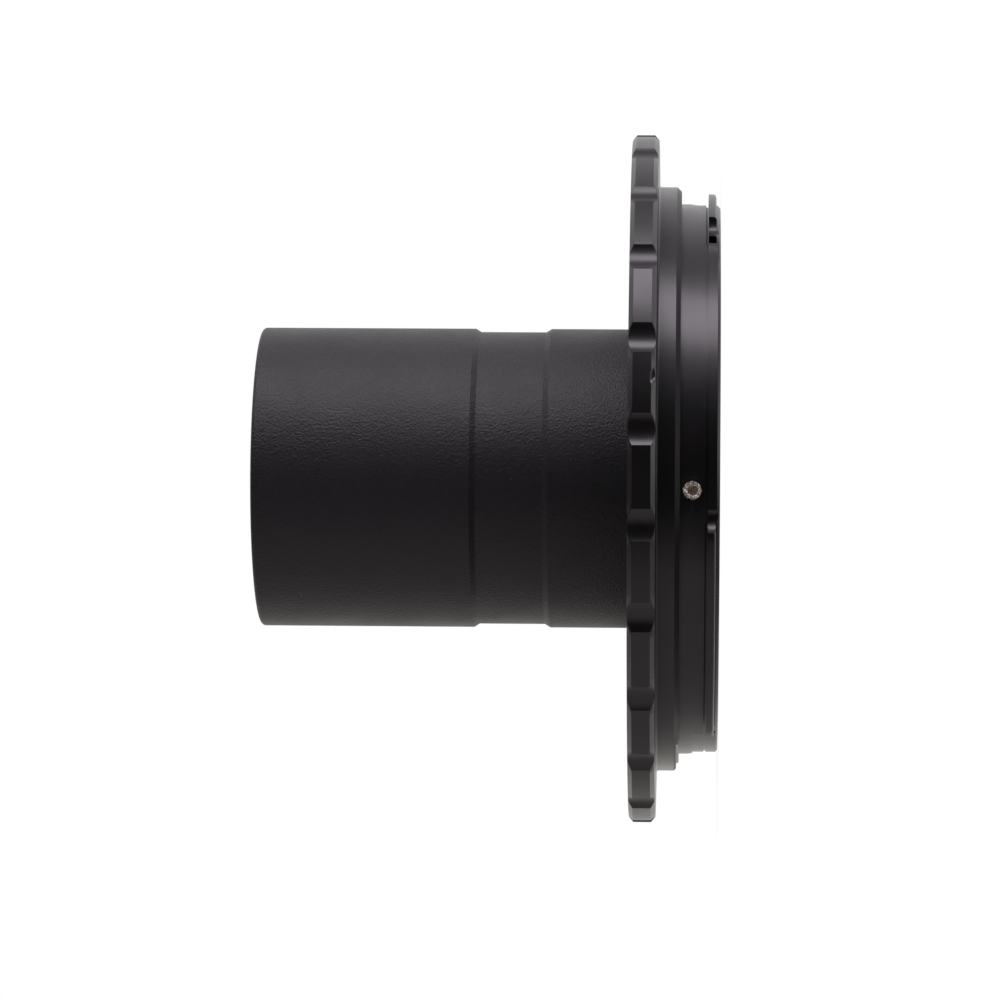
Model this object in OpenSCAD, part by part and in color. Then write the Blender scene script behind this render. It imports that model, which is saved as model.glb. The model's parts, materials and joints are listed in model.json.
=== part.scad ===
// Microscope adapter: a camera bayonet on one end and a plain eyepiece tube on the other.
// The bayonet end stands on z = 0, and the tube points up along +Z.

/* [Eyepiece tube] */
// Outer diameter of the tube, the size of the eyepiece socket that it fits
tube_d = 30; // [28:0.1:31]
// Bore through the tube
tube_bore_d = 26; // [22:0.1:27]
// Length of the tube in front of the grip flange
tube_len = 37.08; // [30:0.01:60]
// Diameter of the undercut neck that a clamp screw bites on
neck_d = 29.33; // [28:0.01:29.6]
// Distance from the grip flange to the neck
neck_start = 8.05; // [5:0.01:12]
// Width of the neck, with its two sloping ends
neck_w = 7.65; // [5:0.01:12]
// Length of each sloping end of the neck
neck_slope = 0.55; // [0.3:0.05:1.5]
// Corner radius at the free end
tube_end_round = 0.4; // [0.2:0.05:0.8]
// Chamfer at both mouths of the bore
tube_mouth_chamfer = 0.4; // [0.2:0.05:0.8]

/* [Screw-in foot] */
// Length of the foot's thread, which is 42 mm across at these sizes
thread_len = 4.4; // [3:0.1:5]
// Depth of the foot's face below the front of the grip flange
foot_sink = 0.15; // [0.05:0.05:0.5]
// Chamfer on both edges of the foot
foot_chamfer = 0.4; // [0.2:0.05:0.6]

/* [Grip flange] */
// Diameter over the grip teeth
flange_d = 68.84; // [64:0.01:80]
// Thickness of the flange
flange_t = 2.62; // [2.5:0.01:5]
// Axial length of the rim chamfers
rim_chamfer_h = 0.43; // [0.2:0.01:0.8]
// Radial depth of the rim chamfers
rim_chamfer_r = 0.5; // [0.2:0.05:0.8]
// Number of grooves around the rim
groove_n = 24; // [18:1:30]
// Width of a groove at the rim
groove_w = 3.15; // [2:0.05:4]
// Width of a groove's flat floor
groove_floor_w = 1.3; // [0.8:0.05:1.8]
// Depth of a groove
groove_depth = 1.25; // [0.6:0.05:2]
// Radius between a groove's floor and its walls
groove_round = 0.6; // [0.2:0.05:0.7]

/* [Mount face] */
// Diameter of the step that carries the mount face
step_d = 58.5; // [57.5:0.1:61]
// Height of the step, from the mount face to the flange
step_h = 2.28; // [1.5:0.02:4]
// Chamfer on the mount face's outer edge
step_chamfer = 0.45; // [0.2:0.01:0.6]
// Fillet where the step meets the flange
step_fillet = 0.3; // [0.1:0.05:0.6]
// Distance from the axis to the flat milled on the mount face's rim
rim_flat_r = 27.77; // [27.7:0.01:28.5]
// Depth of that flat below the mount face
rim_flat_depth = 0.25; // [0.1:0.01:0.4]
// Direction of the flat
rim_flat_turn = -170.6; // [-180:0.1:180]
// Width of the recess for the camera's lock pin
lock_w = 3.2; // [2:0.1:4]
// Depth of the lock-pin recess
lock_depth = 1.6; // [1:0.1:2]
// Radial distance of the recess's middle outside the barrel
lock_offset = 1.2; // [0.8:0.1:1.6]
// Direction of the lock-pin recess
lock_turn = 90; // [-180:1:180]

/* [Bayonet] */
// Diameter of the barrel where it registers in the camera's throat
barrel_d = 55.1; // [53:0.02:56]
// Length of the barrel behind the mount face
barrel_len = 3.83; // [3.4:0.01:6]
// Length of the full-size register next to the mount face
register_len = 0.85; // [0.5:0.05:1.5]
// Length of the slope from the register down to the nose
register_slope = 0.75; // [0.3:0.05:1]
// Radial amount by which the nose is smaller than the register
nose_ease = 0.11; // [0.05:0.01:0.3]
// Wall of the barrel
barrel_wall = 3.1; // [2.6:0.05:3.6]
// Chamfer on the barrel's end
end_chamfer = 0.28; // [0.1:0.02:0.36]
// Diameter over the bayonet lugs
lug_d = 57.1; // [56.5:0.1:58.5]
// Thickness of a lug
lug_t = 0.76; // [0.6:0.01:1.2]
// Distance from the barrel's end to the lugs
lug_inset = 0.4; // [0.38:0.01:0.6]
// Number of lugs
lug_n = 3; // [2:1:4]
// Angle that one lug spans
lug_span = 52.4; // [40:0.1:60]
// Direction of the first lug's middle
lug_turn = -126; // [-180:1:180]
// Corner radius of the lugs' leading edge
lug_round = 0.3; // [0.1:0.05:0.5]
// Radius of the cutter that ends each lug
lug_cutter_r = 1.2; // [0.8:0.05:2]
// Depth that the cutter leaves in the barrel
lug_cutter_bite = 0.1; // [0.05:0.01:0.2]
// Width of the turned relief behind the lugs
lug_relief_w = 0.26; // [0.1:0.01:0.3]
// Depth of the turned relief behind the lugs
lug_relief_depth = 0.1; // [0.05:0.01:0.2]
// Axial length of the milled relief in one gap between lugs
gap_relief_len = 2.47; // [1.5:0.01:3]
// Depth of the milled relief
gap_relief_depth = 0.1; // [0.05:0.01:0.2]
// Angle that the milled relief spans
gap_relief_span = 60; // [30:1:64]
// Direction of the milled relief's middle
gap_relief_turn = 174; // [-180:1:180]

/* [Thread ring] */
// Length of the thread ring
ring_len = 8.05; // [7.4:0.05:8.5]
// Thickness of the ring's front collar
collar_t = 2; // [1.5:0.05:2.5]
// Radial width of the ring's front collar
collar_w = 1.9; // [1:0.05:2.5]
// Wall of the ring outside its thread
ring_wall = 3.33; // [2.8:0.01:4]
// Radial width of the lip that the foot lands on
lip_w = 1.54; // [1:0.02:2]
// Chamfer on the ring's edges
ring_chamfer = 0.3; // [0.1:0.05:0.5]

/* [Set screws] */
// Thread diameter of a set screw
screw_d = 2; // [1.6:0.1:2.5]
// Length of a set screw, with its point
screw_len = 4; // [3.6:0.1:4.4]
// Distance of the screws from the barrel's end
screw_height = 2.63; // [2.5:0.01:2.8]
// Number of set screws
screw_n = 3; // [3:1:3]
// Direction of the first screw
screw_turn = -92.5; // [-180:0.5:180]
// Depth of a screw's end below the barrel's surface
screw_sink = 0.12; // [0:0.01:0.2]
// Width across flats of the hex socket
socket_af = 0.9; // [0.7:0.05:1.1]
// Depth of the hex socket
socket_depth = 1.1; // [0.8:0.1:1.5]
// Chamfer on a screw's outer end
screw_chamfer = 0.12; // [0.05:0.01:0.2]

/* [Fits] */
// Radial clearance between the thread ring and the barrel's bore
ring_clear = 0.05; // [0.02:0.01:0.1]
// Radial clearance of the foot in the thread ring
thread_clear = 0.04; // [0.02:0.01:0.1]
// Radial clearance of a screw in its tapped hole
screw_clear = 0.03; // [0.02:0.01:0.08]
// Gap between a screw's point and the bottom of its groove
point_gap = 0.06; // [0.04:0.01:0.1]

/* [Hidden] */
$fn = 96;
eps = 0.01;
full_turn = 360;
arc_steps = 6;

// Heights, counted up from the barrel's end
mount_z = barrel_len;
flange_z = mount_z + step_h;
front_z = flange_z + flange_t;
lug_back_z = lug_inset + lug_t;
register_z = mount_z - register_len;
nose_z = register_z - register_slope;
collar_z = front_z - collar_t;
ring_back_z = front_z - ring_len;
foot_top_z = front_z - foot_sink;
foot_z = foot_top_z - thread_len;
tube_top_z = front_z + tube_len;
neck_z = front_z + neck_start;
neck_top_z = neck_z + neck_w;

// Radii
tube_r = tube_d / 2;
tube_bore_r = tube_bore_d / 2;
neck_r = neck_d / 2;
flange_r = flange_d / 2;
step_r = step_d / 2;
barrel_r = barrel_d / 2;
nose_r = barrel_r - nose_ease;
lug_r = lug_d / 2;
bore_r = barrel_r - barrel_wall;
ring_r = bore_r - ring_clear;
collar_r = ring_r + collar_w;
ring_thread_r = ring_r - ring_wall;
thread_r = ring_thread_r - thread_clear;
lip_bore_r = ring_thread_r - lip_w;
screw_r = screw_d / 2;
screw_end_r = nose_r - screw_sink;
point_r = screw_end_r - screw_len;
v_bottom_r = point_r - point_gap;

// Points of a quarter-round corner about (cx, cy), from one angle to another
function corner(cx, cy, r, from, to) =
    [for (i = [0 : arc_steps]) let (a = from + (to - from) * i / arc_steps) [cx + r * cos(a), cy + r * sin(a)]];

// A wedge about the axis, wide enough to hold the lugs, between two heights
module wedge(span, turn, low, high) {
    reach = 2 * flange_r;
    half = span / 2;
    rotate(turn)
        translate([0, 0, low])
            linear_extrude(high - low)
                polygon([[0, 0], reach * [cos(half), -sin(half)], [reach, 0], reach * [cos(half), sin(half)]]);
}

// Half section of the turned ring: bore, collar seat, flange, step, barrel and nose
module ring_section() {
    polygon(concat(
        [[bore_r + end_chamfer, 0],
         [bore_r, end_chamfer],
         [bore_r, collar_z],
         [collar_r + ring_clear, collar_z],
         [collar_r + ring_clear, front_z - ring_chamfer],
         [collar_r + ring_clear + ring_chamfer, front_z],
         [flange_r - rim_chamfer_r, front_z],
         [flange_r, front_z - rim_chamfer_h],
         [flange_r, flange_z + rim_chamfer_h],
         [flange_r - rim_chamfer_r, flange_z]],
        corner(step_r + step_fillet, flange_z - step_fillet, step_fillet, 90, 180),
        [[step_r, mount_z + step_chamfer],
         [step_r - step_chamfer, mount_z],
         [barrel_r, mount_z],
         [barrel_r, register_z],
         [nose_r, nose_z],
         [nose_r, lug_back_z + lug_relief_w],
         [nose_r - lug_relief_depth, lug_back_z + lug_relief_w],
         [nose_r - lug_relief_depth, lug_back_z],
         [nose_r, lug_back_z],
         [nose_r, end_chamfer],
         [nose_r - end_chamfer, 0]]
    ));
}

// Half section of the lugs, rooted inside the barrel's wall
module lug_section() {
    root_r = nose_r - barrel_wall / 2;
    polygon(concat(
        [[root_r, lug_back_z], [root_r, lug_inset]],
        corner(lug_r - lug_round, lug_inset + lug_round, lug_round, -90, 0),
        [[lug_r, lug_back_z]]
    ));
}

// The bayonet lugs, before the cutter ends them
module lugs() {
    cutter_angle = asin(lug_cutter_r / lug_r);
    for (i = [0 : lug_n - 1])
        intersection() {
            rotate_extrude() lug_section();
            wedge(lug_span + 2 * cutter_angle, lug_turn + i * full_turn / lug_n, lug_inset - eps, lug_back_z + eps);
        }
}

// The cutter's place at both ends of every lug
module lug_ends() {
    cutter_angle = asin(lug_cutter_r / lug_r);
    centre_r = nose_r + lug_cutter_r - lug_cutter_bite;
    for (i = [0 : lug_n - 1], side = [-1, 1])
        rotate(lug_turn + i * full_turn / lug_n + side * (lug_span / 2 + cutter_angle))
            translate([centre_r, 0, -eps])
                cylinder(r = lug_cutter_r, h = lug_back_z + eps);
}

// The shallow relief milled over the barrel in one gap between the lugs
module gap_relief() {
    intersection() {
        difference() {
            translate([0, 0, -eps]) cylinder(r = lug_r + lug_cutter_r, h = gap_relief_len + eps);
            translate([0, 0, -2 * eps]) cylinder(r = nose_r - gap_relief_depth, h = gap_relief_len + 4 * eps);
        }
        wedge(gap_relief_span, gap_relief_turn, -2 * eps, gap_relief_len + eps);
    }
}

// The recess in the mount face for the camera's lock pin, open at the step's rim
module lock_recess() {
    rotate(lock_turn)
        translate([barrel_r + lock_offset, 0, mount_z - eps]) {
            cylinder(d = lock_w, h = lock_depth + eps);
            translate([0, -lock_w / 2, 0]) cube([lock_w, lock_w, lock_depth + eps]);
        }
}

// The shallow flat milled on the rim of the mount face, clear of the barrel
module rim_flat() {
    rotate(rim_flat_turn)
        translate([rim_flat_r, -flange_r, mount_z - eps])
            cube([flange_r, flange_d, rim_flat_depth + eps]);
}

// The grip grooves: a flat floor, two sloping walls and the cutter's radius between them, right across the rim
module grip_grooves() {
    floor_r = flange_r - groove_depth;
    slope = (groove_w - groove_floor_w) / 2 / groove_depth;
    lean = atan(slope);
    over = groove_depth / 2;
    round_x = floor_r + groove_round;
    round_y = groove_floor_w / 2 - groove_round * tan((90 - lean) / 2);
    for (i = [0 : groove_n - 1])
        rotate((i + 0.5) * full_turn / groove_n)
            translate([0, 0, flange_z - eps])
                linear_extrude(flange_t + 2 * eps)
                    polygon(concat(
                        [[flange_r + over, -groove_w / 2 - over * slope]],
                        corner(round_x, -round_y, groove_round, 270 - lean, 180),
                        corner(round_x, round_y, groove_round, 180, 90 + lean),
                        [[flange_r + over, groove_w / 2 + over * slope]]
                    ));
}

// Places a child, drawn along +X, at every set screw or at one of them
module at_screw(i) {
    translate([0, 0, screw_height]) rotate(screw_turn + i * full_turn / screw_n) children();
}

// Tapped holes for the set screws, from the bore out through the barrel
module screw_holes() {
    for (i = [0 : screw_n - 1])
        at_screw(i)
            translate([bore_r - barrel_wall / 2, 0, 0])
                rotate([0, 90, 0])
                    cylinder(r = screw_r + screw_clear, h = 2 * barrel_wall);
}

// Turned and milled bayonet ring: grip flange, step, barrel and lugs in one piece
module bayonet_ring() {
    color("#26252a")
        difference() {
            union() {
                rotate_extrude() ring_section();
                lugs();
            }
            lug_ends();
            gap_relief();
            lock_recess();
            rim_flat();
            grip_grooves();
            screw_holes();
        }
}

// Inner ring that turns in the bayonet ring and takes the foot's thread
module thread_ring() {
    v_depth = ring_r - v_bottom_r;
    color("#2b2a2e")
        rotate_extrude()
            polygon([
                [lip_bore_r, ring_back_z + ring_chamfer],
                [lip_bore_r + ring_chamfer, ring_back_z],
                [ring_r - ring_chamfer, ring_back_z],
                [ring_r, ring_back_z + ring_chamfer],
                [ring_r, screw_height - v_depth],
                [v_bottom_r, screw_height],
                [ring_r, screw_height + v_depth],
                [ring_r, collar_z],
                [collar_r, collar_z],
                [collar_r, front_z - ring_chamfer],
                [collar_r - ring_chamfer, front_z],
                [ring_thread_r + ring_chamfer, front_z],
                [ring_thread_r, front_z - ring_chamfer],
                [ring_thread_r, foot_z],
                [lip_bore_r, foot_z]
            ]);
}

// Tube and its screw-in foot, turned in one piece
module eyepiece_tube() {
    color("#232226")
        rotate_extrude()
            polygon(concat(
                [[tube_bore_r + tube_mouth_chamfer, foot_z],
                 [thread_r - foot_chamfer, foot_z],
                 [thread_r, foot_z + foot_chamfer],
                 [thread_r, foot_top_z - foot_chamfer],
                 [thread_r - foot_chamfer, foot_top_z],
                 [tube_r, foot_top_z],
                 [tube_r, neck_z],
                 [neck_r, neck_z + neck_slope],
                 [neck_r, neck_top_z - neck_slope],
                 [tube_r, neck_top_z]],
                corner(tube_r - tube_end_round, tube_top_z - tube_end_round, tube_end_round, 0, 90),
                [[tube_bore_r + tube_mouth_chamfer, tube_top_z],
                 [tube_bore_r, tube_top_z - tube_mouth_chamfer],
                 [tube_bore_r, foot_z + tube_mouth_chamfer]]
            ));
}

// Steel set screw with a hex socket and a cone point, lying along its radius
module set_screw(i) {
    color("#b9b6b0")
        at_screw(i)
            difference() {
                rotate([90, 0, 90])
                    rotate_extrude()
                        polygon([
                            [0, point_r],
                            [screw_r, point_r + screw_r],
                            [screw_r, screw_end_r - screw_chamfer],
                            [screw_r - screw_chamfer, screw_end_r],
                            [0, screw_end_r]
                        ]);
                translate([screw_end_r - socket_depth, 0, 0])
                    rotate([0, 90, 0])
                        cylinder(d = socket_af / cos(30), h = socket_depth + eps, $fn = 6);
            }
}

bayonet_ring();
thread_ring();
eyepiece_tube();
set_screw(0);  // set_screw_1
set_screw(1);  // set_screw_2
set_screw(2);  // set_screw_3
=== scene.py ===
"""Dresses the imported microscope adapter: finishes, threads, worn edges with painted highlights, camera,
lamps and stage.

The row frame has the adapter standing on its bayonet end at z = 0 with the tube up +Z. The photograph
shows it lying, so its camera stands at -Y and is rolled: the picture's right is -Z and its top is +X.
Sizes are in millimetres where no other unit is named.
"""

from __future__ import annotations

import json
import logging
import math
from dataclasses import dataclass
from enum import Enum

import bpy
from bpy.types import Material, Node, NodeSocket, NodeTree, Object
from mathutils import Matrix, Vector

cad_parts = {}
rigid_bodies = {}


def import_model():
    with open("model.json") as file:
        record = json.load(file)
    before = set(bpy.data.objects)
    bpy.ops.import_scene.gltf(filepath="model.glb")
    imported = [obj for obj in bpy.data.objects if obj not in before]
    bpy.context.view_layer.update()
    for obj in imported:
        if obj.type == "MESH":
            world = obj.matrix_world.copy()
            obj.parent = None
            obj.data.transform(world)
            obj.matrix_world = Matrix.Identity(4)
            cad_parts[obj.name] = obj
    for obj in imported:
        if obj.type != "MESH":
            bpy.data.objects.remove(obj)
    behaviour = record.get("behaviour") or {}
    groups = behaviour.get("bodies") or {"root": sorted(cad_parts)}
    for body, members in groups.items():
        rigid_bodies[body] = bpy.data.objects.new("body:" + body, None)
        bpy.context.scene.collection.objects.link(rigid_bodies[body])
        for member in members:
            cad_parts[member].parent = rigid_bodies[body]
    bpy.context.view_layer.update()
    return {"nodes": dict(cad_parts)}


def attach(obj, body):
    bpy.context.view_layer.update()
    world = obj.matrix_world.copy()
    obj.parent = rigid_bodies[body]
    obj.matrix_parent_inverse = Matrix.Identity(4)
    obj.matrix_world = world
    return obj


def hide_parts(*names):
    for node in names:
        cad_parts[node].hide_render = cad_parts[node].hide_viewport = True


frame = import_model()

MM = 0.001
# The bare metal under worn anodising. Then the size of worn patches and of patches of sheen, and between
# which values of their noise they grow.
WORN_METAL = "#a09c99"
RUBBED_PATCH = 1.5
RUBBED_NOISE = (0.42, 0.75)
SHEEN_PATCH = 5.0
SHEEN_NOISE = (0.3, 0.7)
# Faces that meet at less than this many degrees are taken as flat, and as smooth.
FLAT_ANGLE = 0.3
SMOOTH_ANGLE = 40
log = logging.getLogger("adapter")

Point = tuple[float, float, float]


def linear(hex_colour: str, alpha: float = 1.0) -> tuple[float, float, float, float]:
    """Turns an sRGB hex colour into the linear values that a shader socket takes.

    Args:
        hex_colour: Six hex digits, with or without a leading hash.
        alpha: The fourth value.

    Returns:
        Linear red, green, blue and alpha.
    """
    digits = hex_colour.lstrip("#")
    channels = [int(digits[i : i + 2], 16) / 255 for i in (0, 2, 4)]
    red, green, blue = (c / 12.92 if c <= 0.04045 else ((c + 0.055) / 1.055) ** 2.4 for c in channels)
    return (red, green, blue, alpha)


def add_node(tree: NodeTree, kind: str, inputs: dict | None = None, **settings: object) -> Node:
    """Adds one node with its settings, values and links.

    Args:
        tree: The node tree that gets the node.
        kind: The node's type name, such as ShaderNodeMath.
        inputs: For each input, by name or index, the output socket that feeds it or its plain value.
        **settings: Attributes of the node, such as operation.

    Returns:
        The new node.
    """
    node = tree.nodes.new(kind)
    for name, value in settings.items():
        setattr(node, name, value)
    for key, value in (inputs or {}).items():
        if isinstance(value, NodeSocket):
            tree.links.new(value, node.inputs[key])
        else:
            node.inputs[key].default_value = value
    return node


def compute(tree: NodeTree, operation: str, *values: float | NodeSocket) -> NodeSocket:
    """Adds one math node.

    Args:
        tree: The node tree that gets the node.
        operation: What it does with the values.
        *values: Plain values, or the sockets that feed them.

    Returns:
        The result's socket.
    """
    return add_node(tree, "ShaderNodeMath", dict(enumerate(values)), operation=operation).outputs[0]


def new_material(name: str) -> tuple[Material, NodeTree]:
    """Adds an empty node material.

    Args:
        name: The material's name.

    Returns:
        The material and its empty node tree.
    """
    material = bpy.data.materials.new(name)
    material.use_nodes = True
    material.node_tree.nodes.clear()
    return material, material.node_tree


class Joining(Enum):
    """How one solid works on another."""

    CUT = "DIFFERENCE"
    ADD = "UNION"
    KEEP_SHARED = "INTERSECT"


class Surface(Enum):
    """How a face of the aluminium was made before it was anodised."""

    BLASTED = "blasted"
    TURNED = "turned"


@dataclass(frozen=True)
class Mark:
    """A scratch, a scuff or a speck of dust: a line between two places, or a dot where they are the same.

    Attributes:
        start: One end, on the surface.
        end: The other end.
        radius: Half the mark's width.
        strength: How much of the mark's colour shows.
    """

    start: Point
    end: Point
    radius: float
    strength: float

    def mask(self, tree: NodeTree, place: NodeSocket) -> NodeSocket:
        """Makes the mark's strength at a place: full on the line and nothing beyond its radius.

        Args:
            tree: The material's node tree.
            place: Object coordinates.

        Returns:
            The strength's socket.
        """
        start = Vector(self.start) * MM
        along = Vector(self.end) * MM - start
        offset = add_node(tree, "ShaderNodeVectorMath", {0: place, 1: start}, operation="SUBTRACT").outputs[0]
        if along.length > 0:
            share = add_node(
                tree,
                "ShaderNodeVectorMath",
                {0: offset, 1: along / along.length_squared},
                operation="DOT_PRODUCT",
            ).outputs["Value"]
            share = add_node(tree, "ShaderNodeClamp", {"Value": share}).outputs[0]
            nearest = add_node(
                tree, "ShaderNodeVectorMath", {0: along, "Scale": share}, operation="SCALE"
            ).outputs[0]
            offset = add_node(
                tree, "ShaderNodeVectorMath", {0: offset, 1: nearest}, operation="SUBTRACT"
            ).outputs[0]
        far = add_node(tree, "ShaderNodeVectorMath", {0: offset}, operation="LENGTH").outputs["Value"]
        return add_node(
            tree,
            "ShaderNodeMapRange",
            {
                "Value": far,
                "From Min": self.radius * MM * 0.5,
                "From Max": self.radius * MM,
                "To Min": self.strength,
                "To Max": 0.0,
            },
        ).outputs[0]


@dataclass(frozen=True)
class Anodised:
    """Aluminium with a dyed black anodised skin: a dark, clear oxide layer over a blasted or turned surface.

    Attributes:
        name: The material's name.
        surface: How the face was made.
        colour: The dye's colour as sRGB hex.
        roughness: Mean roughness of the skin.
        spread: How much the roughness varies over the surface.
        ior: Refractive index of the sealed oxide, lower where a blasted skin scatters more of the sheen.
        grain: Size of the blasted grain, or spacing of the turning marks.
        depth: Height of that relief.
        rubbed: Share of the skin that is rubbed through in patches to a lighter grey.
        marks: Scratches, scuffs and dust.
    """

    name: str
    surface: Surface
    colour: str
    roughness: float
    spread: float
    ior: float
    grain: float
    depth: float
    rubbed: float = 0.0
    marks: tuple[Mark, ...] = ()

    def relief(self, tree: NodeTree, place: NodeSocket) -> NodeSocket:
        """Makes the height of the blasted grain or of the turning marks, in metres.

        Args:
            tree: The material's node tree.
            place: Object coordinates.

        Returns:
            The height's socket.
        """
        vector = place
        if self.surface is Surface.TURNED:
            parts = add_node(tree, "ShaderNodeSeparateXYZ", {0: place})
            flat = add_node(tree, "ShaderNodeCombineXYZ", {"X": parts.outputs["X"], "Y": parts.outputs["Y"]})
            radius = add_node(tree, "ShaderNodeVectorMath", {0: flat.outputs[0]}, operation="LENGTH")
            vector = add_node(
                tree, "ShaderNodeCombineXYZ", {"X": radius.outputs["Value"], "Y": parts.outputs["Z"]}
            ).outputs[0]
        marks = add_node(
            tree,
            "ShaderNodeTexNoise",
            {"Vector": vector, "Scale": 1 / (self.grain * MM), "Detail": 2.0, "Roughness": 0.6},
        )
        return compute(tree, "MULTIPLY", marks.outputs["Fac"], self.depth * MM)

    def wear(self, tree: NodeTree, place: NodeSocket) -> NodeSocket | float:
        """Makes the share of rubbed skin, scratches and dust at a place.

        Args:
            tree: The material's node tree.
            place: Object coordinates.

        Returns:
            The share's socket, or nothing worn as a plain zero.
        """
        worn: NodeSocket | float = 0.0
        if self.rubbed:
            patches = add_node(
                tree,
                "ShaderNodeTexNoise",
                {"Vector": place, "Scale": 1 / (RUBBED_PATCH * MM), "Detail": 4.0, "Roughness": 0.7},
            )
            worn = add_node(
                tree,
                "ShaderNodeMapRange",
                {
                    "Value": patches.outputs["Fac"],
                    "From Min": RUBBED_NOISE[0],
                    "From Max": RUBBED_NOISE[1],
                    "To Max": self.rubbed,
                },
            ).outputs[0]
        for mark in self.marks:
            mask = mark.mask(tree, place)
            worn = compute(tree, "MAXIMUM", worn, mask)
        return worn

    def build(self) -> Material:
        """Makes the material.

        Returns:
            The material.
        """
        material, tree = new_material(self.name)
        place = add_node(tree, "ShaderNodeTexCoord").outputs["Object"]
        bump = add_node(
            tree, "ShaderNodeBump", {"Height": self.relief(tree, place), "Distance": 1.0, "Strength": 1.0}
        )
        patches = add_node(
            tree, "ShaderNodeTexNoise", {"Vector": place, "Scale": 1 / (SHEEN_PATCH * MM), "Detail": 3.0}
        )
        roughness = add_node(
            tree,
            "ShaderNodeMapRange",
            {
                "Value": patches.outputs["Fac"],
                "From Min": SHEEN_NOISE[0],
                "From Max": SHEEN_NOISE[1],
                "To Min": self.roughness - self.spread,
                "To Max": self.roughness + self.spread,
            },
        )
        worn = self.wear(tree, place)
        inputs = {
            "Base Color": linear(self.colour),
            "Roughness": roughness.outputs[0],
            "IOR": self.ior,
            "Normal": bump.outputs[0],
        }
        if isinstance(worn, NodeSocket):
            inputs["Base Color"] = add_node(
                tree,
                "ShaderNodeMix",
                {0: worn, 6: linear(self.colour), 7: linear(WORN_METAL)},
                data_type="RGBA",
            ).outputs[2]
        shader = add_node(tree, "ShaderNodeBsdfPrincipled", inputs)
        add_node(tree, "ShaderNodeOutputMaterial", {"Surface": shader.outputs[0]})
        return material


@dataclass(frozen=True)
class Steel:
    """Bright steel, turned and hardened.

    Attributes:
        name: The material's name.
        colour: The metal's colour as sRGB hex.
        roughness: Mean roughness.
        grain: Size of the small facets that forging the socket left.
        depth: Height of those facets.
        spread: Share by which the roughness varies.
    """

    name: str
    colour: str
    roughness: float
    grain: float
    depth: float
    spread: float = 0.4

    def build(self) -> Material:
        """Makes the material.

        Returns:
            The material.
        """
        material, tree = new_material(self.name)
        place = add_node(tree, "ShaderNodeTexCoord").outputs["Object"]
        marks = add_node(
            tree, "ShaderNodeTexNoise", {"Vector": place, "Scale": 1 / (self.grain * MM), "Detail": 4.0}
        )
        roughness = add_node(
            tree,
            "ShaderNodeMapRange",
            {
                "Value": marks.outputs["Fac"],
                "To Min": self.roughness * (1 - self.spread),
                "To Max": self.roughness * (1 + self.spread),
            },
        )
        height = compute(tree, "MULTIPLY", marks.outputs["Fac"], self.depth * MM)
        bump = add_node(tree, "ShaderNodeBump", {"Height": height, "Distance": 1.0, "Strength": 1.0})
        shader = add_node(
            tree,
            "ShaderNodeBsdfPrincipled",
            {
                "Base Color": linear(self.colour),
                "Metallic": 1.0,
                "Roughness": roughness.outputs[0],
                "Normal": bump.outputs[0],
            },
        )
        add_node(tree, "ShaderNodeOutputMaterial", {"Surface": shader.outputs[0]})
        return material


def pick(piece: Object) -> None:
    """Selects one object alone and makes it the active one."""
    bpy.ops.object.select_all(action="DESELECT")
    piece.select_set(True)
    bpy.context.view_layer.objects.active = piece


def merged_copy(name: str) -> Object:
    """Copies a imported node, joins its loose triangles and dissolves what is flat between them.

    Args:
        name: The node's name.

    Returns:
        The copy, which stands in for the node.
    """
    pick(frame["nodes"][name])
    bpy.ops.object.duplicate()
    piece = bpy.context.object
    bpy.ops.object.parent_clear(type="CLEAR_KEEP_TRANSFORM")
    bpy.ops.object.transform_apply(location=True, rotation=True, scale=True)
    piece.name = f"{name}_dressed"
    piece.data.materials.clear()
    bpy.ops.mesh.customdata_custom_splitnormals_clear()
    bpy.ops.object.mode_set(mode="EDIT")
    bpy.ops.mesh.select_all(action="SELECT")
    bpy.ops.mesh.mark_sharp(clear=True)
    bpy.ops.mesh.remove_doubles(threshold=0.001 * MM)
    bpy.ops.mesh.normals_make_consistent(inside=False)
    bpy.ops.mesh.dissolve_limited(angle_limit=math.radians(FLAT_ANGLE))
    bpy.ops.object.mode_set(mode="OBJECT")
    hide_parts(name)
    return piece


def turned(name: str, stations: tuple[tuple[float, float], ...], sides: int = 48) -> Object:
    """Raises a solid of revolution along +Z from a disc, with one extrusion for each station.

    Args:
        name: The piece's name.
        stations: Radius and height of each station, from the bottom up.
        sides: Number of sides around the axis.

    Returns:
        The solid.
    """
    radius, height = stations[0]
    bpy.ops.object.select_all(action="DESELECT")
    bpy.ops.mesh.primitive_circle_add(
        vertices=sides, radius=radius * MM, fill_type="NGON", location=(0, 0, height * MM)
    )
    piece = bpy.context.object
    piece.name = name
    bpy.ops.object.transform_apply(location=True, rotation=True, scale=True)
    bpy.ops.object.mode_set(mode="EDIT")
    bpy.ops.mesh.select_mode(type="FACE")
    bpy.ops.mesh.select_all(action="SELECT")
    for next_radius, next_height in stations[1:]:
        rise = (0, 0, (next_height - height) * MM)
        bpy.ops.mesh.extrude_region_move(TRANSFORM_OT_translate={"value": rise})
        scale = next_radius / radius
        bpy.ops.transform.resize(value=(scale, scale, 1), center_override=(0, 0, 0))
        radius, height = next_radius, next_height
    bpy.ops.mesh.select_all(action="SELECT")
    bpy.ops.mesh.normals_make_consistent(inside=False)
    bpy.ops.object.mode_set(mode="OBJECT")
    return piece


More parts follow.
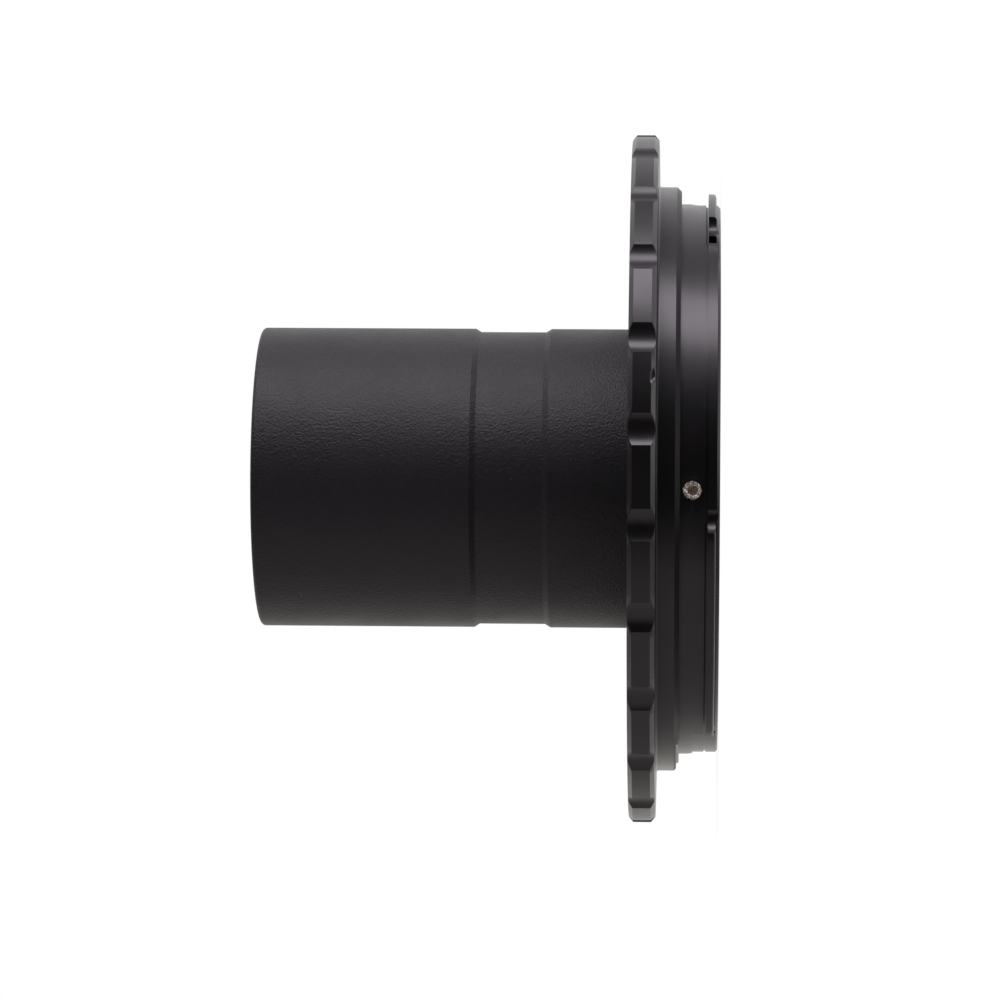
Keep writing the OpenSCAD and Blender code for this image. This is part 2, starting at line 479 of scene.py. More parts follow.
def cut(piece: Object, cutter: Object, joining: Joining = Joining.CUT) -> None:
    """Works one closed shape on a piece and removes the shape.

    Args:
        piece: The piece that changes.
        cutter: The shape that works on it.
        joining: Whether the shape is cut out, added, or keeps what both share.
    """
    pick(piece)
    bpy.ops.object.modifier_add(type="BOOLEAN")
    modifier = piece.modifiers[-1]
    modifier.operation = joining.value
    modifier.solver = "EXACT"
    modifier.object = cutter
    bpy.ops.object.modifier_apply(modifier=modifier.name)
    bpy.data.objects.remove(cutter)


def joined(pieces: list[Object]) -> Object:
    """Joins several objects into the first of them.

    Args:
        pieces: The objects.

    Returns:
        The first object, which now holds them all.
    """
    bpy.ops.object.select_all(action="DESELECT")
    for piece in pieces:
        piece.select_set(True)
    bpy.context.view_layer.objects.active = pieces[0]
    bpy.ops.object.join()
    return pieces[0]


def placed(model: Object, reach: float, turn: float) -> Object:
    """Copies a shape that stands on the axis to a place around it.

    Args:
        model: The shape.
        reach: Distance of the copy from the axis.
        turn: Direction of the copy from +X in degrees.

    Returns:
        The copy.
    """
    pick(model)
    bpy.ops.object.duplicate()
    copy = bpy.context.object
    copy.rotation_euler = (0, 0, math.radians(turn))
    copy.location = (reach * MM * math.cos(math.radians(turn)), reach * MM * math.sin(math.radians(turn)), 0)
    bpy.ops.object.transform_apply(location=True, rotation=True, scale=True)
    return copy


def ease_edges(piece: Object, width: float, angle: float = 28.0) -> None:
    """Rounds every sharp edge a little and gives the new faces the piece's second finish, whose lighter
    colour paints a highlight on them.

    Args:
        piece: The piece, with its two finishes in place.
        width: Width of the rounding.
        angle: Edges that turn by fewer degrees stay as they are.
    """
    pick(piece)
    bpy.ops.object.modifier_add(type="BEVEL")
    bevel = piece.modifiers[-1]
    bevel.width = width * MM
    bevel.segments = 2
    bevel.limit_method = "ANGLE"
    bevel.angle_limit = math.radians(angle)
    bevel.material = 1
    bpy.ops.object.modifier_apply(modifier=bevel.name)
    bpy.ops.object.shade_smooth_by_angle(angle=math.radians(SMOOTH_ANGLE))
    bpy.ops.object.modifier_add(type="WEIGHTED_NORMAL")
    normals = piece.modifiers[-1]
    normals.keep_sharp = True
    bpy.ops.object.modifier_apply(modifier=normals.name)


@dataclass(frozen=True)
class Thread:
    """A 60 degree thread, cut as one helical groove around +Z.

    Attributes:
        radius: Radius of the surface that it is cut into.
        depth: Depth of the groove.
        pitch: Distance between two turns.
        low: Height where it starts.
        high: Height where it ends.
        inward: Whether the groove goes in from the surface, as on a screw, and not out, as in a nut.
        past: Share of the depth by which the cutter reaches past the surface.
        fill: Share of the pitch that the groove takes up at the surface.
        steps: Steps in one turn.
    """

    radius: float
    depth: float
    pitch: float
    low: float
    high: float
    inward: bool
    past: float = 0.1
    fill: float = 0.8
    steps: int = 64

    def cutter(self) -> Object:
        """Makes the helical cutter from one triangle, swept by a screw and closed at both ends.

        Returns:
            The cutter.
        """
        over = self.past * self.depth
        side = -1 if self.inward else 1
        tall = self.fill * self.pitch * (self.depth + over) / self.depth
        # A triangle in a circle of radius 1 is 1.5 high and sqrt(3) wide.
        reach = (self.depth + over) / 1.5
        middle = self.radius + side * (0.5 * reach - over)
        bpy.ops.object.select_all(action="DESELECT")
        bpy.ops.mesh.primitive_circle_add(
            vertices=3, radius=1, fill_type="NOTHING", rotation=(math.pi / 2, side * math.pi / 2, 0)
        )
        piece = bpy.context.object
        bpy.ops.object.transform_apply(location=True, rotation=True, scale=True)
        piece.scale = (reach * MM, 1, tall / math.sqrt(3) * MM)
        piece.location = (middle * MM, 0, self.low * MM)
        bpy.ops.object.transform_apply(location=True, rotation=True, scale=True)
        bpy.ops.object.modifier_add(type="SCREW")
        sweep = piece.modifiers[-1]
        sweep.screw_offset = self.pitch * MM
        sweep.iterations = math.ceil((self.high - self.low) / self.pitch)
        sweep.steps = self.steps
        sweep.render_steps = self.steps
        bpy.ops.object.modifier_apply(modifier=sweep.name)
        bpy.ops.object.mode_set(mode="EDIT")
        bpy.ops.mesh.select_all(action="SELECT")
        bpy.ops.mesh.fill_holes(sides=4)
        bpy.ops.mesh.select_all(action="SELECT")
        bpy.ops.mesh.normals_make_consistent(inside=False)
        bpy.ops.object.mode_set(mode="OBJECT")
        return piece


# Black anodising is clear oxide over dyed pores: nearly black, with a grey sheen where light grazes it. The
# turned faces keep the tool's fine rings. They are drawn a little coarser than the real feed, to show at all.
RING_FINISH = Anodised(
    "anodised_aluminium_turned_black",
    Surface.TURNED,
    "#110f10",
    0.3,
    0.03,
    1.58,
    0.1,
    0.0015,
    marks=(
        Mark((11.85, -32.31, 7.84), (10.44, -32.85, 7.1), 0.05, 0.012),
        Mark((12.4, -32.1, 7.4), (10.6, -32.75, 7.9), 0.04, 0.008),
        Mark((-7.51, -33.59, 7.71), (-7.45, -33.6, 7.6), 0.12, 0.03),
        Mark((-4.24, -28.89, 4.1), (-4.0, -28.9, 4.05), 0.14, 0.05),
        Mark((-15.31, -24.6, 4.04), (-15.31, -24.6, 3.1), 0.09, 0.03),
        Mark((6.9, -26.53, 1.6), (6.82, -26.53, 1.42), 0.08, 0.06),
        Mark((6.9, -26.53, 0.74), (6.82, -26.53, 0.62), 0.07, 0.05),
    ),
)
# A hand rubs the edges, so the dye is thinner there and a greyer metal shows through in places. Every rounded
# edge is also lighter than the ring all along its length: a painted highlight.
RING_EDGE_WEAR_AND_HIGHLIGHT = Anodised(
    "anodised_aluminium_worn_edge_painted_highlight", Surface.TURNED, "#1d1b1c", 0.34, 0.04, 1.58, 0.1, 0.001, rubbed=0.12
)
# The step's chamfer is rougher from the tool and shows hardly any sheen.
STEP_FINISH = Anodised(
    "anodised_aluminium_turned_chamfer", Surface.TURNED, "#120f0f", 0.42, 0.03, 1.3, 0.1, 0.002
)
# A blasted skin is matte with a fine sparkle, strongest where it is lit. The real grain is finer: it is
# drawn at 0.22 mm.
TUBE_FINISH = Anodised(
    "anodised_aluminium_blasted_black",
    Surface.BLASTED,
    "#19181a",
    0.47,
    0.03,
    1.5,
    0.22,
    0.085,
    marks=(
        Mark((3.7, -14.2, 18.23), (3.7, -14.2, 18.2), 0.14, 0.1),
        Mark((-0.12, -14.67, 20.34), (-0.16, -14.67, 20.34), 0.12, 0.08),
        Mark((-11.88, -9.16, 41.05), (-11.4, -9.75, 41.3), 0.08, 0.08),
    ),
)
# The tube's rounded edges are rubbed through in patches, and are also lighter all along: a painted highlight.
TUBE_EDGE_WEAR_AND_HIGHLIGHT = Anodised(
    "anodised_aluminium_blasted_edge", Surface.BLASTED, "#222021", 0.4, 0.04, 1.5, 0.14, 0.004, rubbed=0.1
)
INNER_FINISH = Anodised(
    "anodised_aluminium_inner_black", Surface.TURNED, "#131213", 0.38, 0.04, 1.58, 0.12, 0.002
)
# Hardened steel: a warm grey metal with small bright facets, and a rim polished by the turning tool. Both
# colours are lighter than steel's own, which lifts the screws out of the shade of their holes: painted light.
# The rim's still lighter colour is a painted highlight.
SCREW_FINISH = Steel("hardened_steel_facets", "#f6ecdf", 0.3, 0.3, 0.26)
SCREW_RIM_HIGHLIGHT = Steel("hardened_steel_polished_rim_painted_highlight", "#fffaf3", 0.32, 0.3, 0.02)


@dataclass
class BayonetRing:
    """The grip flange, mount face, barrel and lugs in one body.

    The rim outside its root radius is modelled anew, so that its grooves have the photograph's shallow
    section.

    Attributes:
        edge_width: Width of the rounding on its edges.
        low: Height of the flange's mount side.
        high: Height of the flange's tube side.
        rim_root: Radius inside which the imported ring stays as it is.
        rim_radius: Radius over the grip teeth.
        chamfer_high: Length of the rim chamfers along the axis.
        chamfer_deep: Depth of the rim chamfers.
        rim_sides: Sides of the rim around the axis.
        grooves: Number of grooves.
        groove_radius: Radius of the round cutter that made the grooves.
        groove_deep: Depth of a groove in its middle.
        nick_place: Middle of the nick in one tooth's chamfer.
        nick_size: Half sizes of the nick around the rim, across it and along the axis.
        nose_radius: Radius of the barrel between the lugs.
        lug_top: Height of the lugs' back.
        first_end: Direction of the round cutter that ends the first lug, as an angle from +X.
        second_end: The same for the second lug.
        old_end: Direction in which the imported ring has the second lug's cut.
        end_radius: Radius of that cutter.
        rest_cut: Direction of the rest that is milled off beyond the second lug's end.
        bite: How far the cutter goes into the barrel.
        relief: Width and depth of the turned relief behind the lugs.
        past: How far cutters reach past the faces that they cut.
        lug_foot: Height where the cutters of the lug ends start.
        fill_span: Lowest and highest place of the shapes that bound the filling.
        relief_span: The same for the cylinder that hollows the relief's cutter.
        groove_sides: Sides of the groove cutter.
        end_sides: Sides of the lug cutter.
        join_band: How far from the root radius the walls lie that the weld takes out.
        merge_gap: Corners that are nearer than this become one in the weld.
        fill_low: Height where the filling of the old lug cut starts.
        fill_under: How far the filling stays under the barrel's surface.
        fill_deep: How far the filling reaches in from there.
        fill_reach: How far the filling reaches around the old lug cut.
        fill_sides: Sides of the window that bounds the filling.
        rest_reach: Half diagonal of the block that takes off the rest.
        nick_tilt: Tilt of the nick in radians.
        nick_ragged: How far the nick's corners are moved at random, as a share of its size.
        nick_seed: Seed of that random.
        step_chamfer: Lowest and highest place of the step's chamfer, then its inner and outer radius.
    """

    edge_width: float = 0.08
    low: float = 6.11
    high: float = 8.73
    rim_root: float = 33.0
    rim_radius: float = 34.42
    chamfer_high: float = 0.43
    chamfer_deep: float = 0.5
    rim_sides: int = 192
    grooves: int = 24
    groove_radius: float = 2.73
    groove_deep: float = 0.5
    nick_place: Point = (9.63, -32.92, 6.25)
    nick_size: Point = (1.1, 0.32, 0.46)
    nose_radius: float = 27.44
    lug_top: float = 1.16
    first_end: float = -97.5
    second_end: float = -29.5
    old_end: float = -34.6
    end_radius: float = 1.6
    rest_cut: float = -32.6
    bite: float = 0.1
    relief: tuple[float, float] = (0.2, 0.22)
    past: float = 1.0
    lug_foot: float = -0.5
    fill_span: tuple[float, float] = (-1.0, 2.0)
    relief_span: tuple[float, float] = (0.0, 3.0)
    groove_sides: int = 128
    end_sides: int = 96
    join_band: float = 0.02
    merge_gap: float = 0.003
    fill_low: float = 0.14
    fill_under: float = 0.008
    fill_deep: float = 0.5
    fill_reach: float = 2.0
    fill_sides: int = 24
    rest_reach: float = 1.5
    nick_tilt: float = 0.3
    nick_ragged: float = 0.25
    nick_seed: int = 4
    step_chamfer: tuple[float, float, float, float] = (3.86, 4.24, 28.8, 29.24)

    def core(self, radius: float, low: float, high: float) -> Object:
        """Makes the plain cylinder that hollows a ring.

        Args:
            radius: Its radius.
            low: Height of its lower end.
            high: Height of its upper end.

        Returns:
            The cylinder.
        """
        return turned("core", ((radius, low), (radius, high)), self.rim_sides)

    def groove_cutter(self) -> Object:
        """Makes the cutter for all the grooves: one round bar, copied around the rim.

        Returns:
            The cutter.
        """
        ends = ((self.groove_radius, self.low - self.past), (self.groove_radius, self.high + self.past))
        bar = turned("bar", ends, self.groove_sides)
        reach = self.rim_radius - self.groove_deep + self.groove_radius
        bars = [placed(bar, reach, (index + 0.5) * 360 / self.grooves) for index in range(self.grooves)]
        bpy.data.objects.remove(bar)
        return joined(bars)

    def rim(self) -> Object:
        """Models the chamfered rim with its grooves.

        Returns:
            The rim.
        """
        inner = self.rim_radius - self.chamfer_deep
        rim = turned(
            "rim",
            (
                (inner, self.low),
                (self.rim_radius, self.low + self.chamfer_high),
                (self.rim_radius, self.high - self.chamfer_high),
                (inner, self.high),
            ),
            self.rim_sides,
        )
        cut(rim, self.core(self.rim_root, self.low - self.past, self.high + self.past))
        cut(rim, self.groove_cutter())
        return rim

    def trim(self, ring: Object) -> None:
        """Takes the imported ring's rim off at the root radius.

        Args:
            ring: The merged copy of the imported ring.
        """
        outer = self.rim_radius + 2 * self.past
        low = self.low - self.past
        high = self.high + self.past
        waste = turned("waste", ((outer, low), (outer, high)), self.rim_sides)
        cut(waste, self.core(self.rim_root, low - self.past, high + self.past))
        cut(ring, waste)

    def weld(self, ring: Object, rim: Object) -> None:
        """Joins the new rim to the ring and takes out the walls between them.

        Args:
            ring: The trimmed ring.
            rim: The new rim, which goes into it.
        """
        joined([ring, rim])
        for polygon in ring.data.polygons:
            centre = polygon.center
            radius = math.hypot(centre.x, centre.y)
            between = self.low * MM < centre.z < self.high * MM
            polygon.select = between and abs(radius - self.rim_root * MM) < self.join_band * MM
        bpy.ops.object.mode_set(mode="EDIT")
        bpy.ops.mesh.select_mode(type="FACE")
        bpy.ops.mesh.delete(type="ONLY_FACE")
        bpy.ops.mesh.select_all(action="SELECT")
        bpy.ops.mesh.remove_doubles(threshold=self.merge_gap * MM)
        bpy.ops.mesh.normals_make_consistent(inside=False)
        bpy.ops.mesh.dissolve_limited(angle_limit=math.radians(FLAT_ANGLE))
        bpy.ops.object.mode_set(mode="OBJECT")

    def fill_bite(self, ring: Object) -> None:
        """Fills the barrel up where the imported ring's second lug ends, because that end moves.

        Args:
            ring: The ring.
        """
        radius = self.nose_radius - self.fill_under
        band = turned("band", ((radius, self.fill_low), (radius, self.lug_top)), self.rim_sides)
        low, high = self.fill_span
        cut(band, self.core(radius - self.fill_deep, low, high))
        window = turned("window", ((self.fill_reach, low), (self.fill_reach, high)), self.fill_sides)
        cut(band, placed(window, radius, self.old_end), Joining.KEEP_SHARED)
        bpy.data.objects.remove(window)
        cut(ring, band, Joining.ADD)

    def lug_cutter(self, turn: float) -> Object:
        """Makes the round cutter that ends a lug where the photograph has its end.

        Args:
            turn: Direction of the cutter from +X in degrees.

        Returns:
            The cutter.
        """
        ends = ((self.end_radius, self.lug_foot), (self.end_radius, self.lug_top))
        bar = turned("bar", ends, self.end_sides)
        cutter = placed(bar, self.nose_radius - self.bite + self.end_radius, turn)
        bpy.data.objects.remove(bar)
        return cutter

    def rest_cutter(self) -> Object:
        """Makes the block that takes off what is left beyond the second lug's new end.

        Returns:
            The block.
        """
        ends = ((self.rest_reach, self.lug_foot), (self.rest_reach, self.lug_top))
        block = turned("block", ends, sides=4)
        block.rotation_euler = (0, 0, math.pi / 4)
        pick(block)
        bpy.ops.object.transform_apply(location=True, rotation=True, scale=True)
        copy = placed(block, self.nose_radius + self.rest_reach / math.sqrt(2), self.rest_cut)
        bpy.data.objects.remove(block)
        return copy

    def relief_cutter(self) -> Object:
        """Makes the ring that deepens the turned relief behind the lugs.

        Returns:
            The ring.
        """
        width, depth = self.relief
        outer = self.nose_radius + self.past
        relief = turned("relief", ((outer, self.lug_top), (outer, self.lug_top + width)), self.rim_sides)
        cut(relief, self.core(self.nose_radius - depth, *self.relief_span))
        return relief

    def nick_cutter(self) -> Object:
        """Makes the small uneven shape that knocked a bit out of one chamfer.

        Returns:
            The shape.
        """
        bpy.ops.object.select_all(action="DESELECT")
        bpy.ops.mesh.primitive_ico_sphere_add(subdivisions=2, radius=1)
        piece = bpy.context.object
        bpy.ops.object.mode_set(mode="EDIT")
        bpy.ops.transform.vertex_random(offset=self.nick_ragged, seed=self.nick_seed)
        bpy.ops.object.mode_set(mode="OBJECT")
        piece.scale = [size * MM for size in self.nick_size]
        piece.rotation_euler = (0, self.nick_tilt, math.atan2(self.nick_place[0], -self.nick_place[1]))
        piece.location = [value * MM for value in self.nick_place]
        bpy.ops.object.transform_apply(location=True, rotation=True, scale=True)
        return piece

    def dress(self, ring: Object) -> None:
        """Gives the ring its finishes, the step's chamfer its own, and rounds its edges.

        Args:
            ring: The finished shape.
        """
        ring.data.materials.clear()
        for finish in (RING_FINISH, RING_EDGE_WEAR_AND_HIGHLIGHT, STEP_FINISH):
            ring.data.materials.append(finish.build())
        low, high, inner, outer = self.step_chamfer
        for polygon in ring.data.polygons:
            centre = polygon.center / MM
            if low < centre.z < high and inner < math.hypot(centre.x, centre.y) < outer:
                polygon.material_index = 2
        ease_edges(ring, self.edge_width)

    def build(self) -> Object:
        """Builds and dresses the ring.

        Returns:
            The ring.
        """
        ring = merged_copy("bayonet_ring")
        cut(ring, self.lug_cutter(self.first_end))
        self.fill_bite(ring)
        cut(ring, self.lug_cutter(self.second_end))
        cut(ring, self.rest_cutter())
        cut(ring, self.relief_cutter())
        self.trim(ring)
        self.weld(ring, self.rim())
        cut(ring, self.nick_cutter())
        self.dress(ring)
        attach(ring, "bayonet")
        return ring


@dataclass
class ThreadRing:
    """The inner ring that the screws hold and the tube screws into.

    Attributes:
        edge_width: Width of the rounding on its edges.
        edge_angle: Edges that turn by fewer degrees stay as they are.
        thread: The thread in its bore.
    """

    edge_width: float = 0.06
    edge_angle: float = 50.0
    thread: Thread = Thread(21.07, 0.4, 0.75, 4.7, 9.2, False)

    def build(self) -> Object:
        """Builds and dresses the ring.

        Returns:
            The ring.
        """
        ring = merged_copy("thread_ring")
        cut(ring, self.thread.cutter())
        ring.data.materials.append(INNER_FINISH.build())
        ring.data.materials.append(RING_EDGE_WEAR_AND_HIGHLIGHT.build())
        ease_edges(ring, self.edge_width, self.edge_angle)
        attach(ring, "inner_ring")
        return ring


@dataclass
class EyepieceTube:
    """The blasted tube with its undercut neck and threaded foot.

    Attributes:
        edge_width: Width of the rounding on its edges.
        edge_angle: Edges that turn by fewer degrees stay as they are.
        thread: The thread on its foot.
    """

    edge_width: float = 0.08
    edge_angle: float = 20.0
    thread: Thread = Thread(21.03, 0.42, 0.75, 3.2, 9.2, True)

    def build(self) -> Object:
        """Builds and dresses the tube.

        Returns:
            The tube.
        """
        tube = merged_copy("eyepiece_tube")
        cut(tube, self.thread.cutter())
        tube.data.materials.append(TUBE_FINISH.build())
        tube.data.materials.append(TUBE_EDGE_WEAR_AND_HIGHLIGHT.build())
        ease_edges(tube, self.edge_width, self.edge_angle)
        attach(tube, "tube")
        return tube


@dataclass
class SetScrews:
    """Three cone-point set screws with hex sockets, lying along their radii.

    Attributes:
        radius: Thread radius.
        length: Length with the point.
        chamfer: Chamfer on the outer end.
        point_flat: Radius of the flat on the point.
        point_radius: Distance of the point from the adapter's axis.
        height: Distance of the screws from the barrel's end.
        first_turn: Direction of the first screw in degrees.
        socket_across: Width across the flats of the socket.
        socket_depth: Depth of the socket.
        socket_tip: Radius and depth of the small tip under the socket's floor.
        past: How far the socket's cutter reaches past the screw's end.
        thread: The thread, around the screw's own axis.
        edge_width: Width of the rounding on its edges.
        rim_inside: Radius outside which the chamfer's faces belong to the polished rim.
        end_gap: Faces nearer than this to the end belong to the end face.
        names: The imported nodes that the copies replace.
    """

    radius: float = 1.0
    length: float = 4.0
    chamfer: float = 0.12
    point_flat: float = 0.03
    point_radius: float = 23.32
    height: float = 2.63
    first_turn: float = -92.5
    socket_across: float = 0.9
    socket_depth: float = 1.1
    socket_tip: tuple[float, float] = (0.05, 0.15)
    past: float = 0.2
    thread: Thread = Thread(1.0, 0.2, 0.4, -0.3, 3.78, True)
    edge_width: float = 0.035
    # rim_inside: Radius outside which the chamfer's faces belong to the polished rim with its painted
    # highlight.
    rim_inside: float = 0.8
    end_gap: float = 0.01
    names: tuple[str, ...] = ("set_screw_1", "set_screw_2", "set_screw_3")

    def model(self) -> Object:
        """Models one screw along +Z with its point at the origin.

        Returns:
            The screw.
        """
        screw = turned(
            "screw_model",
            (
                (self.point_flat, 0.0),
                (self.radius, self.radius),
                (self.radius, self.length - self.chamfer),
                (self.radius - self.chamfer, self.length),
            ),
        )
        corner = self.socket_across / math.sqrt(3)
        floor = self.length - self.socket_depth
        tip, deep = self.socket_tip
        stations = ((tip, floor - deep), (corner, floor), (corner, self.length + self.past))
        cut(screw, turned("socket", stations, sides=6))
        cut(screw, self.thread.cutter())
        screw.data.materials.append(SCREW_FINISH.build())
        screw.data.materials.append(SCREW_RIM_HIGHLIGHT.build())
        for polygon in screw.data.polygons:
            centre = polygon.center / MM
            on_chamfer = self.length - self.chamfer < centre.z < self.length - self.end_gap
            if on_chamfer and math.hypot(centre.x, centre.y) > self.rim_inside:
                polygon.material_index = 1
        ease_edges(screw, self.edge_width)
        return screw

    def build(self) -> list[Object]:
        """Copies the screw to its three places.

        Returns:
            The three screws.
        """
        model = self.model()
        screws = []
        for index, name in enumerate(self.names):
            turn = math.radians(self.first_turn + index * 360 / len(self.names))
            pick(model)
            bpy.ops.object.duplicate()
            screw = bpy.context.object
            screw.name = f"{name}_dressed"
            screw.rotation_euler = (0, math.pi / 2, turn)
            reach = self.point_radius * MM
            screw.location = (reach * math.cos(turn), reach * math.sin(turn), self.height * MM)
            bpy.ops.object.transform_apply(location=True, rotation=True, scale=True)
            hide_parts(name)
            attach(screw, f"screw_{index + 1}")
            screws.append(screw)
        bpy.data.objects.remove(model)
        return screws


@dataclass
class PhotoCamera:
    """The photograph's camera: a long lens, level with the tube's axis, turned a little along the tube.

    Attributes:
        sensor_mm: Width of the sensor.
        lens_mm: Focal length.
        distance: Distance from the adapter's axis.
        level: The camera's place along +X, which is the picture's height.
        station: The camera's place along the axis: the flange's faces are seen edge-on from about here.
        turn_deg: Turn of the view from straight across the axis towards the tube.
        roll_deg: How much the tube's axis falls to the picture's right.
    """

    sensor_mm: float = 36.0
    lens_mm: float = 169.06
    distance: float = 472.1
    level: float = -2.2225
    station: float = 2.829
    turn_deg: float = 2.3186
    roll_deg: float = 0.359

    def build(self) -> Object:
        """Adds the camera and makes it the scene's own.

        Returns:
            The camera.
        """
        turn = math.radians(self.turn_deg)
        roll = math.radians(self.roll_deg)
        forward = Vector((0, math.cos(turn), math.sin(turn)))
        right = Vector((math.sin(roll), 0, -math.cos(roll)))
        right = (right - right.dot(forward) * forward).normalized()
        up = right.cross(forward)
        bpy.ops.object.camera_add(location=Vector((self.level, -self.distance, self.station)) * MM)
        camera = bpy.context.object
        camera.name = "photo_camera"
        camera.data.lens = self.lens_mm
        camera.data.sensor_width = self.sensor_mm
        camera.data.clip_start = 0.01
        camera.rotation_mode = "QUATERNION"
        camera.rotation_quaternion = Matrix((right, up, -forward)).transposed().to_quaternion()
        bpy.context.scene.camera = camera
        return camera


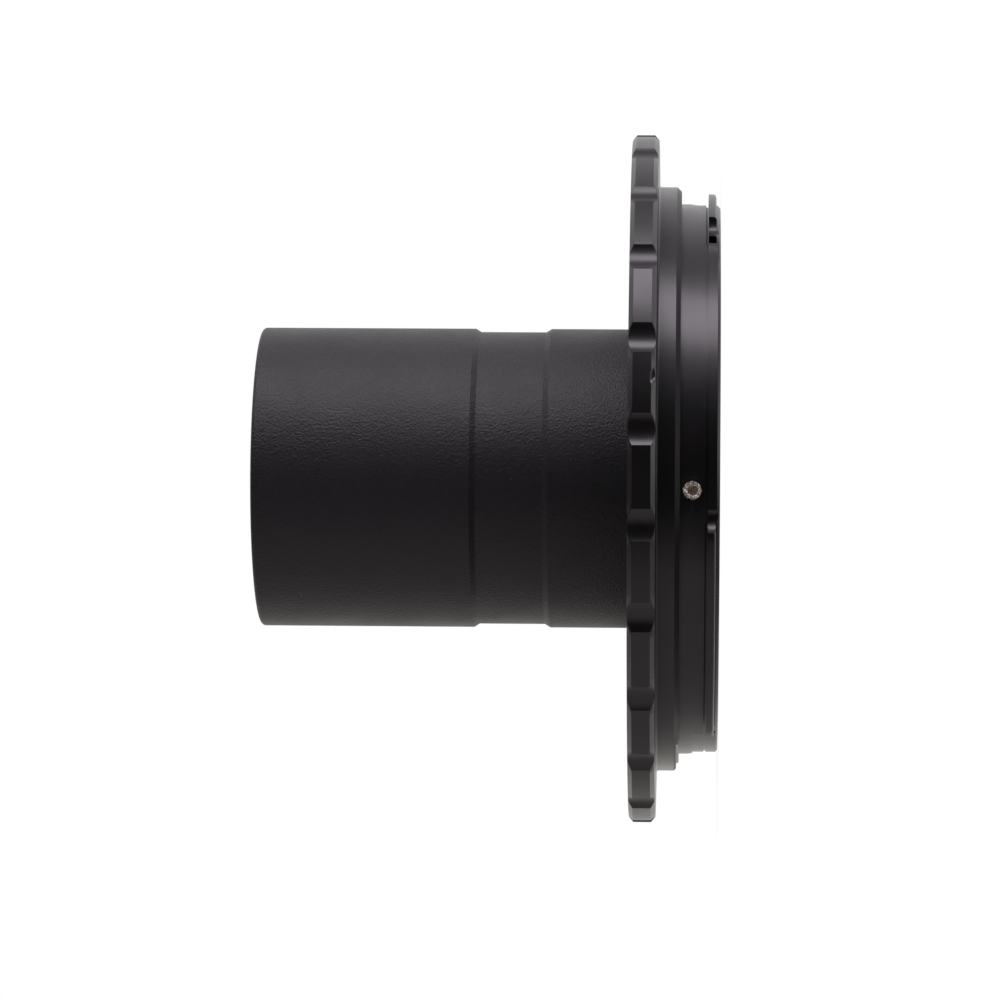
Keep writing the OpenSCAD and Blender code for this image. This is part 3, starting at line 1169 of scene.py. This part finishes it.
@dataclass
class Studio:
    """A pale floor, white surroundings behind, the room's dark on the camera's side, and one long softbox.

    Directions around the adapter's axis are counted in degrees from the camera (0) over the photograph's
    top (90) to the back (180), and under its bottom (-90).

    Attributes:
        floor_size: Side of the floor in metres.
        floor_gap: How far it lies under the adapter, in millimetres.
        softbox_way: Direction of the softbox around the axis.
        softbox_far: Its distance from the axis in metres.
        softbox_width: Its size across the axis in metres.
        softbox_length: Its size along the axis in metres.
        softbox_shift: Its place along the axis in metres.
        softbox_glow: Its radiance, where white paper in full light is 1.
        softbox_colour: Its colour as sRGB hex.
        paper_colour: The floor's colour as sRGB hex.
        floor_glow: Strength of the floor's own white to the camera.
        floor_share: Share of that white in what the camera sees of the floor.
        end_zone: How near to the axis's direction the surround starts to show its ends, and shows only them.
        strip_place: Place of the bright strip at the mount's end, towards the photograph's top.
        strip_zone: Distances from that place where the strip starts to fade and is gone.
        strip_levels: Its brightness in the middle and around it.
        tube_end_level: Brightness of the surround at the tube's end.
        stops: Colour of the surround at each angle around the axis.
    """

    floor_size: float = 4.0
    floor_gap: float = 0.02
    softbox_way: float = 69.0
    softbox_far: float = 0.9
    softbox_width: float = 0.4
    softbox_length: float = 1.4
    softbox_shift: float = 0.02
    softbox_glow: float = 4.2
    softbox_colour: str = "#fdf5ff"
    paper_colour: str = "#f6f6f6"
    floor_glow: float = 1.36
    floor_share: float = 0.66
    end_zone: tuple[float, float] = (0.86, 0.985)
    strip_place: float = 0.17
    strip_zone: tuple[float, float] = (0.1, 0.26)
    strip_levels: tuple[float, float] = (1.25, 0.2)
    tube_end_level: float = 0.05
    stops: tuple[tuple[float, str], ...] = (
        (-180, "#fcfaf8"),
        (180, "#fcfaf8"),
        (-155, "#f8f4f0"),
        (-132, "#d2cdc8"),
        (-112, "#b0a7ac"),
        (-80, "#b3aaaf"),
        (-40, "#b5acb1"),
        (-30, "#968f92"),
        (-20, "#50504f"),
        (-12, "#222324"),
        (20, "#1d1e20"),
        (34, "#3c3d40"),
        (46, "#78787c"),
        (58, "#b6b0b9"),
        (88, "#bbb5bf"),
        (104, "#bbb5bf"),
        (122, "#f2ebf4"),
        (140, "#fdfbff"),
    )

    def build(self) -> None:
        """Builds the floor, the surround and the softbox."""
        self.build_floor()
        self.build_surround()
        self.build_softbox()

    def build_floor(self) -> None:
        """Adds the floor, which keeps the adapter's shadow. Its paper and its glow together come to white."""
        bpy.ops.object.select_all(action="DESELECT")
        bpy.ops.mesh.primitive_plane_add(size=self.floor_size, location=(0, 0, -self.floor_gap * MM))
        floor = bpy.context.object
        floor.name = "studio_floor"
        material, tree = new_material("white_paper_sweep")
        paper = add_node(tree, "ShaderNodeBsdfDiffuse", {"Color": linear(self.paper_colour)})
        white = add_node(
            tree, "ShaderNodeEmission", {"Color": linear("#ffffff"), "Strength": self.floor_glow}
        )
        seen = add_node(tree, "ShaderNodeLightPath").outputs["Is Camera Ray"]
        share = compute(tree, "MULTIPLY", seen, self.floor_share)
        mix = add_node(tree, "ShaderNodeMixShader", {0: share, 1: paper.outputs[0], 2: white.outputs[0]})
        add_node(tree, "ShaderNodeOutputMaterial", {"Surface": mix.outputs[0]})
        floor.data.materials.append(material)
        floor.visible_glossy = False
        floor.visible_shadow = False

    def build_surround(self) -> None:
        """Makes the world: its brightness around the axis and along it, and white to the camera."""
        world = bpy.data.worlds.new("white_surround")
        world.use_nodes = True
        bpy.context.scene.world = world
        tree = world.node_tree
        tree.nodes.clear()
        way = add_node(tree, "ShaderNodeTexCoord").outputs["Generated"]
        parts = add_node(tree, "ShaderNodeSeparateXYZ", {0: way})
        front = compute(tree, "MULTIPLY", parts.outputs["Y"], -1.0)
        around = compute(tree, "ARCTAN2", parts.outputs["X"], front)
        turn = compute(tree, "MULTIPLY_ADD", around, 0.5 / math.pi, 0.5)
        ring = add_node(tree, "ShaderNodeValToRGB", {"Fac": turn})
        ramp = ring.color_ramp
        for index, (angle, colour) in enumerate(self.stops):
            spot = (angle + 180) / 360
            stop = ramp.elements[index] if index < 2 else ramp.elements.new(spot)
            stop.position = spot
            stop.color = linear(colour)
        side = compute(tree, "ABSOLUTE", parts.outputs["Z"])
        end_share = add_node(
            tree,
            "ShaderNodeMapRange",
            {"Value": side, "From Min": self.end_zone[0], "From Max": self.end_zone[1]},
            interpolation_type="SMOOTHSTEP",
        )
        off = compute(tree, "ABSOLUTE", compute(tree, "SUBTRACT", parts.outputs["X"], self.strip_place))
        strip = add_node(
            tree,
            "ShaderNodeMapRange",
            {
                "Value": off,
                "From Min": self.strip_zone[0],
                "From Max": self.strip_zone[1],
                "To Min": self.strip_levels[0],
                "To Max": self.strip_levels[1],
            },
            interpolation_type="SMOOTHSTEP",
        )
        right_end = compute(tree, "LESS_THAN", parts.outputs["Z"], 0.0)
        end_level = add_node(
            tree,
            "ShaderNodeMapRange",
            {"Value": right_end, "To Min": self.tube_end_level, "To Max": strip.outputs[0]},
        )
        end_colour = add_node(
            tree,
            "ShaderNodeCombineColor",
            {0: end_level.outputs[0], 1: end_level.outputs[0], 2: end_level.outputs[0]},
        )
        surround_colour = add_node(
            tree,
            "ShaderNodeMix",
            {0: end_share.outputs[0], 6: ring.outputs["Color"], 7: end_colour.outputs[0]},
            data_type="RGBA",
        )
        surround = add_node(tree, "ShaderNodeBackground", {"Color": surround_colour.outputs[2]})
        plain = add_node(tree, "ShaderNodeBackground", {"Color": linear("#ffffff")})
        path = add_node(tree, "ShaderNodeLightPath")
        seen = compute(
            tree, "MAXIMUM", path.outputs["Is Camera Ray"], path.outputs["Is Transmission Ray"]
        )
        mix = add_node(tree, "ShaderNodeMixShader", {0: seen, 1: surround.outputs[0], 2: plain.outputs[0]})
        add_node(tree, "ShaderNodeOutputWorld", {"Surface": mix.outputs[0]})

    def build_softbox(self) -> None:
        """Adds the long softbox over the photograph's top."""
        bearing = math.radians(self.softbox_way)
        way = Vector((math.sin(bearing), -math.cos(bearing), 0))
        place = way * self.softbox_far + Vector((0, 0, self.softbox_shift))
        bpy.ops.object.light_add(type="AREA", location=place)
        lamp = bpy.context.object
        lamp.name = "top_softbox"
        lamp.data.shape = "RECTANGLE"
        lamp.data.size = self.softbox_length
        lamp.data.size_y = self.softbox_width
        lamp.data.color = linear(self.softbox_colour)[:3]
        lamp.data.energy = self.softbox_glow * math.pi * self.softbox_length * self.softbox_width
        lamp.rotation_mode = "QUATERNION"
        right = Vector((0, 0, 1))
        forward = -way
        up = right.cross(forward)
        lamp.rotation_quaternion = Matrix((right, up, -forward)).transposed().to_quaternion()
        lamp.visible_camera = False


def main() -> None:
    """Builds the camera, the pieces and the studio in order."""
    logging.basicConfig(level=logging.INFO, format="%(name)s: %(message)s")
    bpy.context.scene.view_settings.view_transform = "Standard"
    PhotoCamera().build()
    pieces = [BayonetRing().build(), ThreadRing().build(), EyepieceTube().build(), *SetScrews().build()]
    for piece in pieces:
        log.info("%s has %d faces", piece.name, len(piece.data.polygons))
    Studio().build()


if __name__ == "__main__":
    main()
